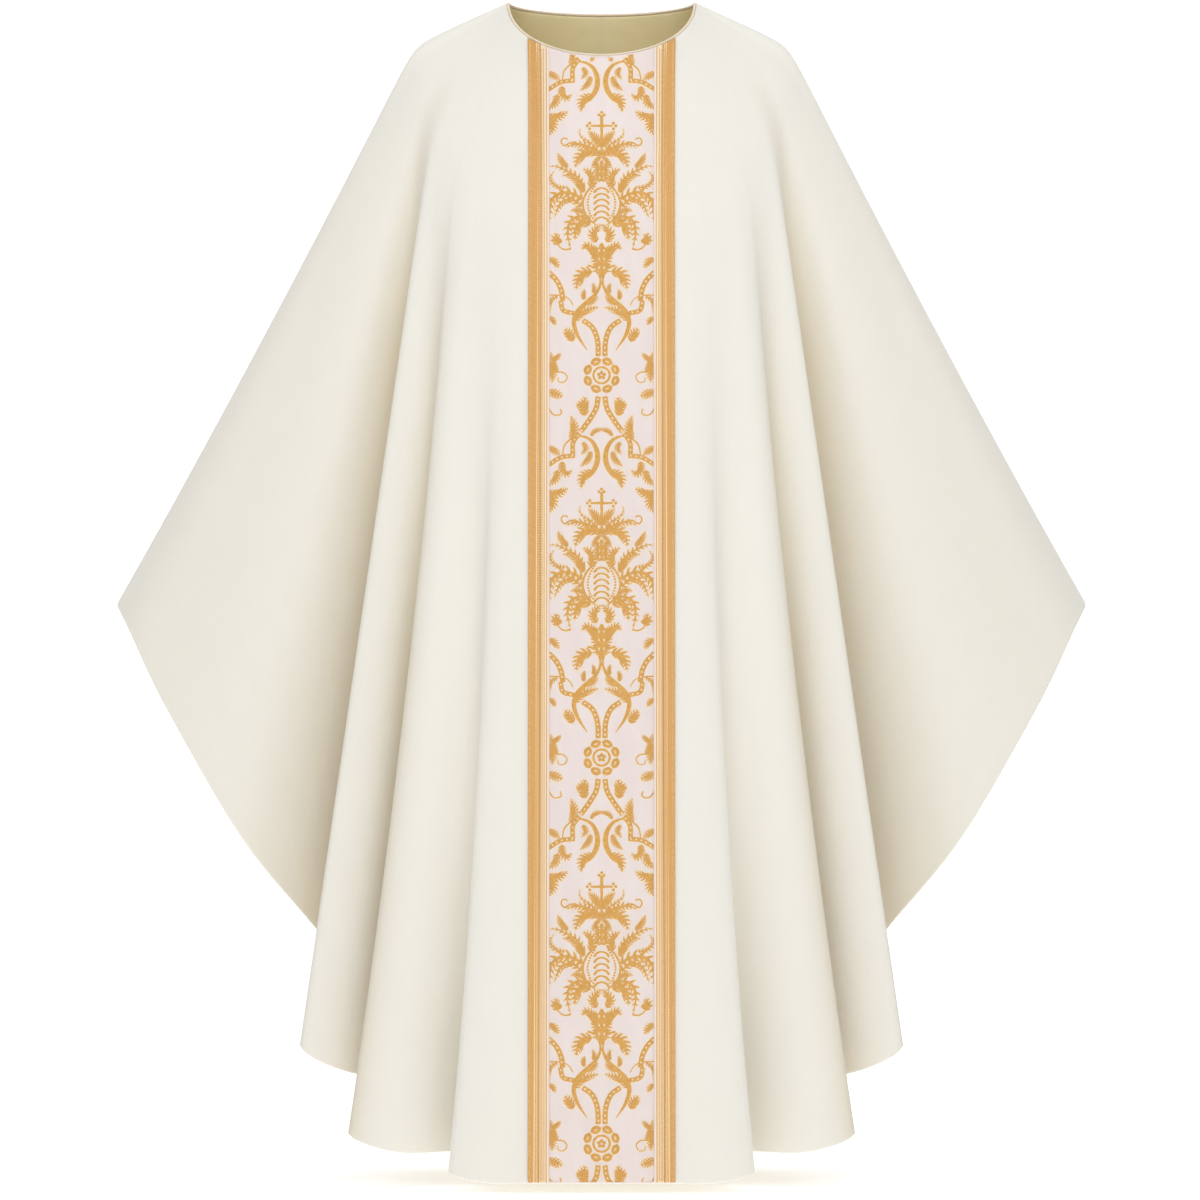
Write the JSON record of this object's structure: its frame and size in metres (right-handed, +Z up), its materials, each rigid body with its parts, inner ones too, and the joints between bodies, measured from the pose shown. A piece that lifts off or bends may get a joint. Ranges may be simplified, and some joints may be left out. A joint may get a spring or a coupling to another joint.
{
  "type": "chasuble",
  "caption": "Wide sleeveless vestment, open at the neck, sides and hem, hanging in outward folds from the shoulders, with a brocade band edged in braid down the centre front and back.",
  "frame": {"origin": "midway between the two neck points, the inner ends of the shoulder seams, where the wearer's shoulders hold the garment", "axes": "+Z up along the hanging cloth, -Y out of the front, +X towards the wearer's left"},
  "size_m": [1.0698, 0.4572, 1.2871],
  "materials": {
    "outer_cloth": "smooth ivory wool-like cloth with a soft sheen",
    "lining": "champagne satin lining",
    "interlining": "plain natural canvas",
    "band_cloth": "pale blush brocade with a woven gold figure",
    "braid": "woven gold braid",
    "piping": "ivory cord piping"
  },
  "bodies": {
    "root": {"front_panel_left": "outer_cloth", "front_panel_right": "outer_cloth", "back_panel_left": "outer_cloth", "back_panel_right": "outer_cloth", "front_lining_left": "lining", "front_lining_right": "lining", "back_lining_left": "lining", "back_lining_right": "lining", "front_band_canvas": "interlining", "back_band_canvas": "interlining", "front_band": "band_cloth", "back_band": "band_cloth", "front_braid_left": "braid", "front_braid_right": "braid", "back_braid_left": "braid", "back_braid_right": "braid", "shoulder_stay_left": "interlining", "shoulder_stay_right": "interlining", "neck_stay_front": "interlining", "neck_stay_back": "interlining", "neck_piping": "piping"}
  },
  "joints": []
}
